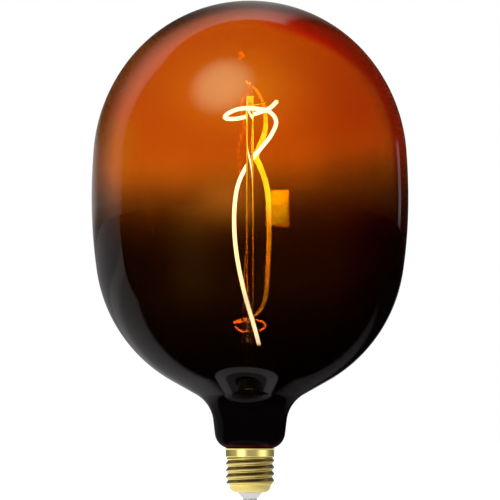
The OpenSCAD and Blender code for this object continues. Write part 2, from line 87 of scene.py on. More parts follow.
class Tree:
    """A node tree, with its material if it has one, and the one way to add a node to it."""

    def __init__(self, tree, material=None):
        self.tree, self.material = tree, material

    def add(self, kind, settings=None, values=None, out=0):
        """Adds a node: its settings come first, then the values or links of its sockets."""
        node = self.tree.nodes.new(kind)
        for name, value in (settings or {}).items():
            setattr(node, name, value)
        for name, value in (values or {}).items():
            socket = node.inputs[name]
            if isinstance(value, Link):
                self.tree.links.new(value.socket, socket)
            else:
                socket.default_value = (*value, 1) if socket.type == "RGBA" else value
        return Link(self, node.outputs[out]) if len(node.outputs) else None

    def sum(self, operation, *values):
        return self.add("ShaderNodeMath", {"operation": operation}, dict(enumerate(values)))

    def most(self, a, b):
        return self.sum("MAXIMUM", a, b)

    def ease(self, value, low, high, start=0, end=1, kind="SMOOTHSTEP"):
        """Goes smoothly from start at low to end at high."""
        return self.add("ShaderNodeMapRange", {"interpolation_type": kind}, {
            "Value": value, "From Min": low, "From Max": high, "To Min": start, "To Max": end})

    def fall(self, value, low, high):
        """Goes smoothly from 1 at low to 0 at high."""
        return self.ease(value, low, high, 1, 0)

    def between(self, value, low, full, fading, high):
        """Rises from 0 at low to 1 at full, and falls from 1 at fading to 0 at high."""
        return self.ease(value, low, full) * self.fall(value, fading, high)

    def spot(self, x, z, at_x, at_z, wide, high):
        """A soft oval spot on the X Z plane, 1 in its middle."""
        far = (x - at_x) ** 2 / wide ** 2 + (z - at_z) ** 2 / high ** 2
        return self.sum("EXPONENT", far * -1)

    def apart(self, vector):
        """The X, Y and Z of a vector."""
        x = self.add("ShaderNodeSeparateXYZ", {}, {0: vector})
        return x, x.other("Y"), x.other("Z")

    def millimetres(self, where):
        """The X, Y and Z of a place, in millimetres."""
        return [axis / MM for axis in self.apart(where)]

    def mix(self, share, a, b, blend="MIX"):
        return self.add("ShaderNodeMix", {"data_type": "RGBA", "blend_type": blend},
                        {0: share, 6: a, 7: b}, out=2)

    def noise(self, where, scale, detail=2, roughness=0.5):
        return self.add("ShaderNodeTexNoise", {}, {
            "Vector": where, "Scale": scale, "Detail": detail, "Roughness": roughness})

    def stretched(self, where, scale):
        return self.add("ShaderNodeVectorMath", {"operation": "MULTIPLY"}, {0: where, 1: scale})

    def bump(self, height, distance):
        return self.add("ShaderNodeBump", {}, {"Distance": distance, "Height": height})

    def facing(self):
        """0 where the surface faces the viewer, 1 at its rim."""
        return self.add("ShaderNodeLayerWeight", {}, {"Blend": 0.5}, out="Facing")

    def ray(self, kind):
        """What kind of ray meets the surface."""
        return self.add("ShaderNodeLightPath", out=kind)

    def mirrored(self):
        """1 for a ray that clear glass mirrors."""
        ray = self.ray("Is Reflection Ray")
        return ray * ray.other("Is Singular Ray")

    def surface(self, shader):
        """Ends a material with its shader, and gives the material back."""
        self.add("ShaderNodeOutputMaterial", {}, {"Surface": shader})
        return self.material


def new_material(name):
    """The tree of an empty material, and its Object coordinates."""
    material = bpy.data.materials.new(name)
    material.use_nodes = True
    material.node_tree.nodes.clear()
    tree = Tree(material.node_tree, material)
    return tree, tree.add("ShaderNodeTexCoord", out="Object")


def principled(tree, values):
    """The finished material of a tree, with one Principled shader."""
    return tree.surface(tree.add("ShaderNodeBsdfPrincipled", {}, values))


# Materials

def smoked_glass(look):
    """Amber glass, sprayed inside with smoke that thickens towards the cap and closes the neck."""
    tree, where = new_material("smoked amber glass")
    x, y, z = tree.millimetres(where)
    fade_foot, rim_z = look.fade_foot / MM, RIM_Z / MM
    wander = tree.noise(where, 22)
    cloud = tree.noise(where, 38, 3, 0.6)
    facing = tree.facing()
    right = tree.ease(x, 5, 70)

    height = z - tree.most(x, -40) * look.lean + (wander - 0.5) * 6
    fade = (tree.ease(height, fade_foot, look.fade_top / MM, look.smoke, 0)
            + tree.ease(height, look.dark_z / MM, fade_foot, look.deep_smoke, 0))
    rim = tree.ease(facing, 0.5, 1, 0, look.rim_smoke, "LINEAR") * (1 - right * 0.5)
    crown = tree.ease(facing, 0.62, 0.88) * tree.ease(z, 247, 268) * (1 - right) * 3
    # The glass is also darker towards its +X side, above about 160 mm.
    smoke = (fade * (facing * 0.8 + 1) + (cloud - 0.5) * 0.16 + rim + crown
             + right * tree.ease(z, 160, 195) * look.plus_x_darkening
             + tree.between(z, 160, 175, 184, 204) * tree.ease(x, 0, 40) * 0.06)

    golden = tree.most(tree.ease(z + (wander - 0.5) * 20, 174, 204, 0.85, 0.05),
                       tree.fall(x, -72, -50) * tree.fall(z, 200, 220))
    glass = tree.mix(golden, look.amber, look.gold)
    # Painted shade: the glass is painted dark red in a leaf near the rim towards +X, faintly all
    # round the rim, and on the +X flank.
    painted_shade_leaf = tree.ease(facing + tree.ease(z, 222, 262, 0, 0.16), 0.55, 0.66) * tree.ease(x, -5, 30)
    flank = right * (tree.ease(z, 148, 172, 0.75, 0.12) + tree.ease(z, 195, 218, 0, 0.15))
    red = tree.most(tree.most(painted_shade_leaf, tree.ease(facing, 0.5, 0.8) * 0.36), flank)
    glass = tree.mix(red, glass, tree.mix(1, glass, look.red, "MULTIPLY"))

    # Painted glow: the glass glows in two soft ovals, one near the loop and one beside the
    # filament.
    painted_glow = (0, 0, 0)
    for scattered, *oval in ((look.painted_glow, -8, 224, 30, 19), (look.low_painted_glow, -13, 163, 14, 11)):
        painted_glow = tree.mix(tree.spot(x, z, *oval), painted_glow, scattered)
    clear = tree.add("ShaderNodeBsdfPrincipled", {}, {
        "Base Color": tree.mix(tree.sum("EXPONENT", smoke * -1), look.soot, glass),
        "Roughness": 0, "IOR": 1.5, "Transmission Weight": 1,
        "Emission Color": painted_glow, "Emission Strength": 1,
        "Normal": tree.bump(tree.noise(where, 9, 1), 0.12 * MM)})
    black = tree.mix(cloud, (0.002, 0.001, 0.001), (0.004, 0.003, 0.003))
    closed = tree.add("ShaderNodeBsdfPrincipled", {}, {
        "Base Color": tree.mix(tree.ease(z, rim_z + 0.6, rim_z + 3), (0.045, 0.003, 0.001), black),
        "Roughness": 0.5, "Specular IOR Level": 0})
    neck = tree.ease(z, 48, 62, 0.75, 0)
    both = tree.add("ShaderNodeMixShader", {}, {0: neck, 1: clear, 2: closed})

    # Part of the rear wall mirrors more, so that the window in it is bright enough
    patch = tree.spot(x, z, 15.5, 168, 8, 11) * tree.ease(y, 0, 1) * tree.ray("Is Transmission Ray")
    mirror = tree.add("ShaderNodeBsdfAnisotropic", {}, {"Color": (1, 1, 1), "Roughness": 0})
    coated = tree.add("ShaderNodeMixShader", {}, {0: patch * 0.08, 1: both, 2: mirror})
    return tree.surface(coated)


def drawn_glass(tree, where, glow=None):
    """Clear glass, a little green, with faint draw lines along its length, and a glow if asked."""
    lines = tree.noise(tree.stretched(where, (900, 900, 25)), 1)
    return principled(tree, {
        "Base Color": tree.mix(lines, (0.9, 0.94, 0.9), (0.97, 0.98, 0.96)),
        "Roughness": 0, "IOR": 1.52, "Transmission Weight": 1,
        "Normal": tree.bump(lines, 0.01 * MM), **(glow or {})})


def rod_glass():
    """Clear rod with a glow painted along both of its edges and near its top, which stands in for
    the filament's light that the rod leads down.
    """
    tree, where = new_material("rod glass")
    z, top = tree.apart(where)[2] / MM, ROD_TOP / MM
    facing = tree.facing()
    edge = tree.between(facing, 0.15, 0.4, 0.7, 0.95)
    # Painted glow: the rod's edges and top glow, more strongly higher up, orange low and
    # yellow-green higher.
    painted_edge_glow = tree.most(edge, tree.ease(z, top - 6, top - 2) * 0.7) * tree.ease(z, 85, 140, 0.15, 1)
    glow = tree.mix(tree.ease(z, 140, 200), (1, 0.42, 0.1), (0.58, 0.92, 0.24))
    return drawn_glass(tree, where, {
        "Emission Color": tree.mix(painted_edge_glow, (0, 0, 0), glow), "Emission Strength": 1.6})


def metal(name, colour, worn, roughness, grain=(1500, 1500, 1500), depth=0.01 * MM):
    """Metal with a fine grain, a few duller places and an uneven gloss."""
    tree, where = new_material(name)
    fine = tree.noise(tree.stretched(where, grain), 1, 3, 0.6)
    patches = tree.noise(where, 260)
    mask = tree.ease(patches, 0.45, 0.75)
    return principled(tree, {
        "Base Color": tree.mix(mask, colour, worn), "Metallic": 1,
        "Roughness": roughness + (fine - 0.5) * 0.12 + mask * 0.08,
        "Normal": tree.bump(fine, depth)})


def stamped_brass(cap):
    """Thin pressed brass with drawing marks round it, a thread painted darker as shade, most on its
    +X side, and painted shade on its upper flanks.
    """
    tree, where = new_material("stamped brass")
    x, y, z = tree.millimetres(where)
    toe_z, skirt_z, root_r, crest_r = (
        size / MM for size in (cap.toe_z, cap.skirt_z, cap.root_r, cap.crest_r))
    radius = tree.sum("SQRT", x * x + y * y)
    rounds = tree.noise(tree.stretched(where, (60, 60, 2600)), 1, 3, 0.6)
    spots = tree.noise(where, 420, 3, 0.65)
    root = tree.fall(radius, root_r - 0.1, crest_r - 0.05) * tree.ease(z, toe_z + 0.3, toe_z + 1.2)
    thread = tree.between(z, toe_z + 0.6, toe_z + 1.6, skirt_z - 1, skirt_z)
    # Painted shade: the thread is painted darker, most on its +X side; the scattered spots are real
    # tarnish.
    tarnish_and_shade = thread * (0.18 + tree.ease(x, 1, 7) * 0.32) + tree.ease(spots, 0.55, 0.8) * 0.15
    brass = tree.mix(tarnish_and_shade, cap.brass, cap.tarnish_and_shade)

    # Painted shade: the level and upward flanks of the thread, away from the roots, are painted
    # nearly black, a little less at the sides.
    up = tree.apart(tree.add("ShaderNodeNewGeometry", out="Normal"))[2]
    upper = tree.most(tree.ease(up, 0, 0.25), tree.ease(up, -0.35, -0.1) * (1 - root))
    sides = tree.ease(tree.sum("ABSOLUTE", x), 5, 11)
    brass = tree.mix(upper * thread * (0.85 - sides * 0.22), brass, cap.painted_thread_shade)

    # The glass of the shoulder mirrors the cap. In rays that clear glass mirrors, the brass is
    # painted nearly black as shade, save a painted lit spot on the front of the skirt, so only that
    # spot of the cap shows there.
    lit = tree.between(z, 22, 23.5, 25.5, 27) * tree.fall(tree.sum("ABSOLUTE", x + 3), 4, 7)
    brass = tree.mix(tree.mirrored() * (0.97 - lit * 0.9), brass, (0.02, 0.014, 0.004))
    return principled(tree, {
        "Base Color": brass, "Metallic": 1, "Roughness": 0.11 + root * 0.1 + (spots - 0.5) * 0.08,
        "Normal": tree.bump(rounds * 0.6 + spots * 0.4, 0.012 * MM)})


def plastic(name, colour, shade, roughness, scale=700, depth=0.03 * MM):
    """Moulded or cast stuff with a slightly uneven colour and a fine skin."""
    tree, where = new_material(name)
    fine = tree.noise(where, scale, 3, 0.6)
    broad = tree.noise(where, 120)
    return principled(tree, {
        "Base Color": tree.mix(broad, colour, shade),
        "Roughness": roughness + (fine - 0.5) * 0.15, "Normal": tree.bump(fine, depth)})


def glowing_phosphor(light):
    """Silicone full of phosphor, a little brighter over each chip.

    It has a colour of its own through the amber glass, where it looks white, behind the rod,
    and in the glass that mirrors it, where the length of the ray tells its images apart.
    """
    tree, where = new_material("glowing phosphor")
    z = tree.apart(where)[2] / MM
    ray = tree.ray("Is Transmission Ray")
    along = tree.add("ShaderNodeAttribute", {"attribute_name": "along"}, out="Fac")
    beat = tree.sum("COSINE", along * (2 * pi / light.chip_pitch)) * 0.5 + 0.5
    grain = tree.noise(where, 1800)
    glow = tree.mix(beat * 0.7 + grain * 0.3, light.glow_dim, light.glow)

    low = tree.fall(z, 130, 185)
    through = tree.mix(low, (0.115, 0.23, 1.45), (0.85, 1.15, 3.3))
    through = tree.mix(tree.fall(z, 90, 112), through, (1.9, 3, 5.2))
    through = tree.mix(tree.fall(z, 85, 87.5), through, (0.6, 0.16, 0.1))
    rod = (tree.ease(ray.other("Transmission Depth"), 2.4, 3.2)
           * tree.between(z, 100, 118, 204, 208)
           * (tree.fall(z, 176, 183) + tree.ease(z, 190, 196)))
    through = tree.mix(rod, through, tree.mix(1, through, (0.55, 0.42, 0.08), "MULTIPLY"))

    path = ray.other("Ray Length") / MM
    near = tree.mix(low, (1.3, 2.5, 0.45), (7.5, 3, 0.4))
    distant = tree.mix(tree.ease(z, 160, 192) * tree.fall(path, 102, 106),
                       (30, 9, 2.2), (2, 3.6, 0.5))
    glow = tree.mix(ray, glow, through)
    glow = tree.mix(tree.mirrored(), glow, tree.mix(tree.ease(path, 88, 105), near, distant))
    return principled(tree, {
        "Base Color": tree.mix(grain, (0.93, 0.6, 0.18), (0.98, 0.72, 0.3)),
        "Roughness": 0.45, "Emission Color": glow, "Emission Strength": light.strength})


def circuit_board():
    """Green laminate with straight copper tracks under the lacquer."""
    tree, where = new_material("circuit board")
    tracks = tree.add("ShaderNodeTexBrick", {}, {
        "Vector": where, "Scale": 420, "Mortar Size": 0.035,
        "Color1": (0, 0, 0), "Color2": (0, 0, 0), "Mortar": (1, 1, 1)})
    weave = tree.noise(where, 2500, 1)
    green = tree.mix(weave, (0.01, 0.085, 0.035), (0.02, 0.12, 0.05))
    return principled(tree, {
        "Base Color": tree.mix(tracks, green, (0.05, 0.26, 0.1)), "Roughness": 0.3,
        "Normal": tree.bump(tracks, 0.03 * MM)})


def wound_ferrite():
    """Dark drum core whose waist carries turns of enamelled copper."""
    tree, where = new_material("wound ferrite")
    z = tree.apart(where)[2] / MM
    low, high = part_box("choke")
    flange, wire_pitch = 0.9, 0.28
    band = tree.between(z, low.z / MM + flange, low.z / MM + flange + 0.1,
                        high.z / MM - flange - 0.1, high.z / MM - flange)
    turns = tree.sum("COSINE", z * (2 * pi / wire_pitch)) * 0.5 + 0.5
    speck = tree.noise(where, 3000)
    core = tree.mix(speck, (0.025, 0.025, 0.028), (0.06, 0.06, 0.065))
    wire = tree.mix(turns, (0.2, 0.06, 0.02), (0.62, 0.25, 0.09))
    return principled(tree, {
        "Base Color": tree.mix(band, core, wire), "Metallic": band * 0.8,
        "Roughness": 0.6 - band * 0.3, "Normal": tree.bump(turns * band, 0.05 * MM)})


# Shapes

def finish_mesh(mesh, sharp=40):
    """Merges doubles, turns the faces outwards and shades smooth between sharp edges."""
    work = bmesh.new()
    work.from_mesh(mesh)
    bmesh.ops.remove_doubles(work, verts=work.verts, dist=1e-7)
    bmesh.ops.recalc_face_normals(work, faces=work.faces)
    work.to_mesh(mesh)
    work.free()
    mesh.shade_smooth()
    mesh.set_sharp_from_angle(angle=radians(sharp))
    return mesh


def new_object(name, data):
    """An object of its data, linked to the scene."""
    made = bpy.data.objects.new(name, data)
    bpy.context.scene.collection.objects.link(made)
    return made


def make_piece(name, mesh, material, slot, *nodes):
    """A finished piece at the origin, which rides on the one body and stands for its CAD nodes."""
    mesh.name = name
    mesh.materials.clear()
    mesh.materials.append(material)
    piece = new_object(name, mesh)
    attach(piece, "root")
    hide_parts(*nodes)


def dress(material, *nodes):
    """Gives CAD nodes a better material."""
    for node in nodes:
        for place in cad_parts[node].material_slots:
            place.material = material


def mesh_of(work):
    """The finished mesh of a bmesh, which is freed."""
    mesh = bpy.data.meshes.new("shape")
    work.to_mesh(mesh)
    work.free()
    return finish_mesh(mesh)


def revolve(profile, turns, closed=True):
    """Turns a profile of (radius, height) points round Z. A point on the axis makes a pole."""
    work = bmesh.new()
    rings = []
    for r, z in profile:
        if r < 1e-7:
            rings.append([work.verts.new((0, 0, z))])
        else:
            rings.append([work.verts.new((r * cos(a), r * sin(a), z))
                          for a in (2 * pi * k / turns for k in range(turns))])
    pairs = list(zip(rings, rings[1:])) + ([(rings[-1], rings[0])] if closed else [])
    for a, b in pairs:
        for k in range(turns):
            m = (k + 1) % turns
            corners = list(dict.fromkeys([
                a[k % len(a)], a[m % len(a)], b[m % len(b)], b[k % len(b)]]))
            if len(corners) > 2:
                work.faces.new(corners)
    return mesh_of(work)


def loft(rings):
    """A closed solid through a stack of rings with equal numbers of points."""
    work = bmesh.new()
    loops = [[work.verts.new(p) for p in ring] for ring in rings]
    for a, b in zip(loops, loops[1:]):
        for k in range(len(a)):
            m = (k + 1) % len(a)
            work.faces.new((a[k], a[m], b[m], b[k]))
    work.faces.new(loops[0])
    work.faces.new(loops[-1])
    return mesh_of(work)


def on_arc(centre, radius, turn):
    """The point of a circle at a turn in degrees."""
    a = radians(turn)
    return Vector((centre[0] + radius * cos(a), centre[1] + radius * sin(a)))


def arc(centre, radius, start, end, step):
    n = ceil(abs(end - start) / step)
    return [on_arc(centre, radius, start + (end - start) * i / n) for i in range(n + 1)]


def envelope_side(depth, globe):
    """One side of the envelope, at a depth under its outer face.

    It is a chain of tangent arcs from the tail up to the crown, as (radius, height).
    """
    lip_r, lip_z = 13.45 * MM, RIM_Z + 0.3 * MM
    taper, cone = globe.neck_taper, globe.cone_angle
    low_a, high_a = globe.lower_flank_angle, globe.upper_flank_angle
    slope, along = on_arc((0, 0), 1, 90 - taper), on_arc((0, 0), 1, 90 - cone)
    heel = Vector((globe.neck_r - globe.heel_r * slope.y, 0))
    heel.y = lip_z + sqrt(globe.heel_r ** 2 - (lip_r - heel.x) ** 2)
    neck_top = Vector((globe.neck_r, heel.y - globe.heel_r * slope.x)) + globe.neck_len * slope
    fillet = neck_top + globe.fillet_r * Vector((slope.y, -slope.x))
    cone_low = on_arc(fillet, globe.fillet_r, 180 - cone)
    low_cos = cos(radians(low_a))
    cone_top_r = (globe.radius - globe.lower_flank_r * (1 - low_cos)
                  - globe.lower_shoulder_r * (low_cos - along.y))
    cone_top = cone_low + along * ((cone_top_r - cone_low.x) / along.x)
    low_shoulder = on_arc(cone_top, globe.lower_shoulder_r, 180 - cone)
    low_flank = on_arc(low_shoulder, globe.lower_flank_r - globe.lower_shoulder_r, 180 - low_a)
    high_flank = Vector((globe.radius - globe.upper_flank_r, low_flank.y))
    high_shoulder = on_arc(high_flank, globe.upper_flank_r - globe.upper_shoulder_r, high_a)
    crown_edge = on_arc(high_shoulder, globe.upper_shoulder_r, globe.crown_angle)
    crown_r = crown_edge.x / cos(radians(globe.crown_angle))
    crown = Vector((0, crown_edge.y - crown_r * sin(radians(globe.crown_angle))))
    heel_end = degrees(acos((globe.tail_r - depth - heel.x) / (globe.heel_r - depth)))
    chain = ([Vector((globe.tail_r - depth, TAIL_Z))]
             + arc(heel, globe.heel_r - depth, -heel_end, -taper, 2)
             + arc(fillet, globe.fillet_r + depth, 180 - taper, 180 - cone, 2)
             + arc(low_shoulder, globe.lower_shoulder_r - depth, -cone, -low_a, 1.25)
             + arc(low_flank, globe.lower_flank_r - depth, -low_a, 0, 0.5)
             + arc(high_flank, globe.upper_flank_r - depth, 0, high_a, 0.4)
             + arc(high_shoulder, globe.upper_shoulder_r - depth, high_a, globe.crown_angle, 1)
             + arc(crown, crown_r - depth, globe.crown_angle, 90, 1.25))
    chain[-1].x = 0
    return [p for i, p in enumerate(chain) if i == 0 or (p - chain[i - 1]).length > 1e-6]


# The filament's route: X, Y and the drop below the top of the rod, in millimetres
ROUTE = [(15, 7, 2.4), (10.5, 15.5, 6), (2, 19.5, 9), (-7, 19, 11.4), (-13.5, 12, 11.6),
         (-12.5, 3, 9.6), (-6, -4, 7.2), (3, -4, 7), (11, 2.5, 8.6), (14.5, 8, 14),
         (11.5, 9.5, 21.4), (6, 11, 28.4), (-1.5, 13, 37.6), (-6.5, 12.5, 48), (-8.5, 9.5, 60),
         (-8.7, 6.5, 73), (-7.6, 4, 86), (-5.2, 1, 99.5), (-2.1, -3, 112.5), (1.8, -6, 125.5),
         (5.1, -9, 138)]


def spline_point(a, b, c, d, t):
    return 0.5 * (2 * b + (c - a) * t + (2 * a - 5 * b + 4 * c - d) * t * t
                  + (3 * b - a - 3 * c + d) * t ** 3)


def filament_path(steps):
    """The filament's centre line, smooth through every point of the route."""
    points = [Vector((x * MM, y * MM, ROD_TOP - drop * MM)) for x, y, drop in ROUTE]
    points = [2 * points[0] - points[1]] + points + [2 * points[-1] - points[-2]]
    path = [spline_point(*points[i:i + 4], s / steps)
            for i in range(len(points) - 3) for s in range(steps)]
    return path + [points[-2]]


def tangent(points, i):
    return (points[min(i + 1, len(points) - 1)] - points[max(i - 1, 0)]).normalized()


def normals_along(points, start):
    """Normals that follow a path without twisting."""
    normals, normal = [], Vector(start)
    for i in range(len(points)):
        t = tangent(points, i)
        normal = (normal - normal.dot(t) * t).normalized()
        normals.append(normal)
    return normals


def mm(x, y, z):
    """A vector given in millimetres."""
    return Vector((x, y, z)) * MM


def turned(turn, radius, z):
    """A point at a turn and a radius round the Z axis."""
    return Vector((*on_arc((0, 0), radius, turn), z))


# Shapes made by geometry nodes

def new_shape_tree(name, sizes, counts):
    """A geometry tree and its inputs: the geometry, then sizes, counts and a material."""
    group = bpy.data.node_groups.new(name, "GeometryNodeTree")
    kinds = {"Geometry": "Geometry", **dict.fromkeys(sizes, "Float"),
             **dict.fromkeys(counts, "Int"), "Material": "Material"}
    for label, kind in kinds.items():
        group.interface.new_socket(label, in_out="INPUT", socket_type="NodeSocket" + kind)
    group.interface.new_socket("Geometry", in_out="OUTPUT", socket_type="NodeSocketGeometry")
    tree = Tree(group)
    given = tree.add("NodeGroupInput")
    return tree, [given.other(label) for label in kinds]


def end_shape_tree(tree, geometry, material):
    """Ends a geometry tree: real faces, smooth, in their material."""
    real = tree.add("GeometryNodeRealizeInstances", {}, {0: geometry})
    smooth = tree.add("GeometryNodeSetShadeSmooth", {}, {0: real})
    dressed = tree.add("GeometryNodeSetMaterial", {}, {0: smooth, "Material": material})
    tree.add("NodeGroupOutput", {}, {0: dressed})
    return tree.tree


def tube_tree():
    """A round tube along an edge path, with its corners eased and its ends rounded."""
    tree, (path, radius, bend, rounding, step, sides, material) = new_shape_tree(
        "Tube along a path", ["Radius", "Bend", "Rounding", "Step"], ["Sides"])
    curve = tree.add("GeometryNodeMeshToCurve", {}, {0: path})
    curve = tree.add("GeometryNodeFilletCurve", {"mode": "POLY"}, {
        0: curve, "Count": 6, "Radius": bend, "Limit Radius": True})
    curve = tree.add("GeometryNodeResampleCurve", {"mode": "LENGTH"}, {0: curve, "Length": step})
    along = tree.add("GeometryNodeSplineParameter", out="Length")
    whole = tree.add("GeometryNodeSplineLength")
    end = tree.sum("MINIMUM", along, whole - along) / rounding
    part = tree.ease(end, 0, 1, 0.02, 1, "LINEAR")
    scale = tree.sum("SQRT", part * (2 - part)) * radius
    curve = tree.add("GeometryNodeStoreNamedAttribute", {}, {
        0: curve, "Name": "along", "Value": along})
    ring = tree.add("GeometryNodeCurvePrimitiveCircle", {}, {"Resolution": sides})
    swept = tree.add("GeometryNodeCurveToMesh", {}, {
        0: curve, "Profile Curve": ring, "Scale": scale, "Fill Caps": True})
    return end_shape_tree(tree, swept, material)


SHELL_SIZES = ["Skirt Z", "Skirt R", "Lip Flare", "Lip H", "Crest R", "Root R", "Pitch", "Crest Z",
               "Toe Z", "Toe R", "Roll R"]


def shell_tree():
    """The pressed cap, as a sheet over turns and height.

    From the top it has a flared rim, a plain skirt, a knuckle thread and a rolled edge.
    """
    tree, sockets = new_shape_tree("Screw shell", ["Rim Z", *SHELL_SIZES], ["Around", "Up"])
    (rim_z, skirt_z, skirt_r, flare, flare_h, crest_r, root_r, pitch, crest_z, toe_z, toe_r,
     roll_r, around, up, material) = sockets[1:]
    sheet = tree.add("GeometryNodeMeshGrid", {}, {"Vertices X": around, "Vertices Y": up})
    x, y = tree.apart(tree.add("GeometryNodeInputPosition"))[:2]
    turn, down = (x + 0.5) * (2 * pi), y + 0.5
    straight = 0.86
    z = tree.ease(down, 0, straight, rim_z, toe_z, "LINEAR")
    roll = tree.ease(down, straight, 1, 0, pi / 2, "LINEAR")
    body = (root_r + (skirt_r - root_r) * tree.ease(z, skirt_z - 0.6 * MM, skirt_z)
            + (toe_r - root_r) * tree.fall(z, toe_z, toe_z + 0.9 * MM))
    depth = (crest_r - root_r) * tree.between(
        z, toe_z + 0.2 * MM, toe_z + 1.3 * MM, skirt_z - 1.6 * MM, skirt_z - 0.5 * MM)
    wave = tree.sum("COSINE", (z - crest_z) * (2 * pi) / pitch - turn)
    lip = tree.ease(z, rim_z - flare_h, rim_z, 0, flare, "LINEAR")
    r = body + depth * (wave + 1) * 0.5 + lip - roll_r * (1 - tree.sum("COSINE", roll))
    place = tree.add("ShaderNodeCombineXYZ", {}, {
        0: r * tree.sum("COSINE", turn), 1: r * tree.sum("SINE", turn),
        2: z - roll_r * tree.sum("SINE", roll)})
    sheet = tree.add("GeometryNodeSetPosition", {}, {0: sheet, "Position": place})
    sheet = tree.add("GeometryNodeMergeByDistance", {}, {0: sheet, "Distance": 0.001 * MM})
    return end_shape_tree(tree, sheet, material)


def run_shape_tree(group, mesh, inputs, walls=0):
    """The plain mesh that a geometry tree makes of a start mesh, with a wall under it if asked."""
    start = new_object("start", mesh)
    modifier = start.modifiers.new("shape", "NODES")
    modifier.node_group = group
    for item in group.interface.items_tree:
        if item.in_out == "INPUT" and item.name in inputs:
            modifier[item.identifier] = inputs[item.name]
    if walls:
        wall = start.modifiers.new("wall", "SOLIDIFY")
        wall.thickness, wall.offset, wall.use_even_offset = walls, -1, True
    result = start.evaluated_get(bpy.context.evaluated_depsgraph_get())
    made = bpy.data.meshes.new_from_object(result)
    bpy.data.objects.remove(start)
    return made


def tube(name, points, material, radius, bend, rounding, step, sides):
    """A tube along points, as a finished mesh."""
    path = bpy.data.meshes.new(name + "_path")
    path.from_pydata(points, [(i, i + 1) for i in range(len(points) - 1)], [])
    return finish_mesh(run_shape_tree(tube_tree(), path, {
        "Radius": radius, "Bend": bend, "Rounding": rounding, "Step": step, "Sides": sides,
        "Material": material}), 60)


# Sizes and colours

def length(text, value):
    """A length, with its default in millimetres."""
    return FloatProperty(name=text, description=text, default=value * MM, min=0, max=100,
                         subtype="DISTANCE", unit="LENGTH", precision=5)


def angle(text, value):
    return FloatProperty(name=text, description=text + ", in degrees", default=value, min=0, max=90)


def number(text, value):
    return FloatProperty(name=text, description=text, default=value)


def colour(text, value):
    return FloatVectorProperty(name=text, description=text, default=value, size=3,
                               subtype="COLOR", min=0, max=1)


class GlobeSizes(bpy.types.PropertyGroup):
    radius: length("Greatest radius of the globe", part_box("glass_envelope")[1].x / MM)
    wall: length("Glass wall", 1)
    upper_flank_r: length("Upper flank radius", 349)
    upper_flank_angle: angle("Upper flank sweep", 4.5)
    upper_shoulder_r: length("Upper shoulder radius", 92)
    crown_angle: angle("Slope where the crown starts", 42)
    lower_flank_r: length("Lower flank radius", 273)
    lower_flank_angle: angle("Lower flank sweep", 8.4)
    lower_shoulder_r: length("Lower shoulder radius", 83.3)
    cone_angle: angle("Slope of the cone into the neck", 60.7)
    fillet_r: length("Hollow between cone and neck", 18.8)
    neck_r: length("Neck radius", 19.4)
    neck_taper: angle("Neck taper", 6.75)
    neck_len: length("Neck length", 7.6)
    heel_r: length("Heel radius", 9.5)
    tail_r: length("Tail radius", 11.4)
    turns: IntProperty(name="Faces round", description="Faces round the globe", default=192,
                       min=48, max=256)


class GlassLook(bpy.types.PropertyGroup):
    amber: colour("Amber of one wall", (0.75, 0.25, 0.022))
    gold: colour("Thinner amber of one wall", (0.75, 0.325, 0.03))
    # Painted shade: the dark red painted on the glass near its rim
    red: colour("Share let through by the red leaf near the rim", (0.88, 0.085, 0.26))
    soot: colour("Thickest smoke of one wall", (0.006, 0.003, 0.003))
    # Colours of the glow painted on the glass
    painted_glow: colour("Light scattered by the coating near the loop", (0.052, 0.047, 0.003))
    low_painted_glow: colour("Light scattered by the coating beside the filament", (0.088, 0.034, 0.004))
    fade_top: length("Top of the fade", 192)
    fade_foot: length("Foot of the fade", 128)
    dark_z: length("Height where the smoke is thickest", 70)
    smoke: number("Smoke at the foot of the fade", 2)
    deep_smoke: number("Smoke added below the fade", 1.7)
    lean: number("Slope of the fade across the globe", 0.105)
    # Darkening towards the +X side
    plus_x_darkening: number("Smoke added on the +X side", 0.17)
    rim_smoke: number("Smoke added at the rim", 2.3)


class CapSizes(bpy.types.PropertyGroup):
    skirt_z: length("Foot of the skirt", RIM_Z / MM - 4.5)
    skirt_r: length("Skirt radius", 13.1)
    lip_flare: length("Flare of the rim", 0.35)
    lip_h: length("Height of the flare", 0.7)
    crest_r: length("Crest radius", 13.05)
    root_r: length("Root radius", 12.05)
    pitch: length("Pitch", 3.629)
    crest_z: length("Crest height on the +X side", 14.81)
    toe_z: length("Height where the edge rolls in", 8.6)
    toe_r: length("Radius there", 11.25)
    roll_r: length("Radius of the roll", 3.8)
    wall: length("Brass sheet", 0.3)
    brass: colour("Brass", (0.9, 0.74, 0.245))
    # Colour of the real tarnish spots and of the shade painted on the thread
    tarnish_and_shade: colour("Tarnish_and_painted_shade", (0.3, 0.2, 0.05))
    # Near black painted as shade on the upper flanks
    painted_thread_shade: colour("Painted_shade on the upper flanks", (0.1, 0.055, 0.01))


class FilamentSizes(bpy.types.PropertyGroup):
    jacket_d: length("Jacket diameter", 2.2)
    chip_pitch: length("Chip spacing", 2.78)
    tab_back: length("Weld distance from the end", 1.8)
    lead_r: length("Lead wire radius", 0.3)
    rod_r: length("Rod radius", 1.9)
    lead_x: length("Spread of the leads at the seal", 4)
    anchor_drop: length("Support wire below the top of the rod", 4.9)
    strength: number("Light of the filament", 26)
    glow: colour("Glow over a chip", (1, 0.72, 0.34))
    glow_dim: colour("Glow between chips", (0.94, 0.64, 0.28))


class StudioSettings(bpy.types.PropertyGroup):
    distance: length("Camera distance", 3665)
    height: length("Camera height", 38)
    aim: length("Height looked at", 138.4)
    view_width: length("Width of the view at the axis", 276.2)
    floor_size: length("Floor width", 30000)
    surround: number("Light of the floor in the glass", 0.23)
    window: number("Light of the window that the rear wall mirrors", 6500)
    lamp: number("Overhead softbox, in watts", 12)


# Operators

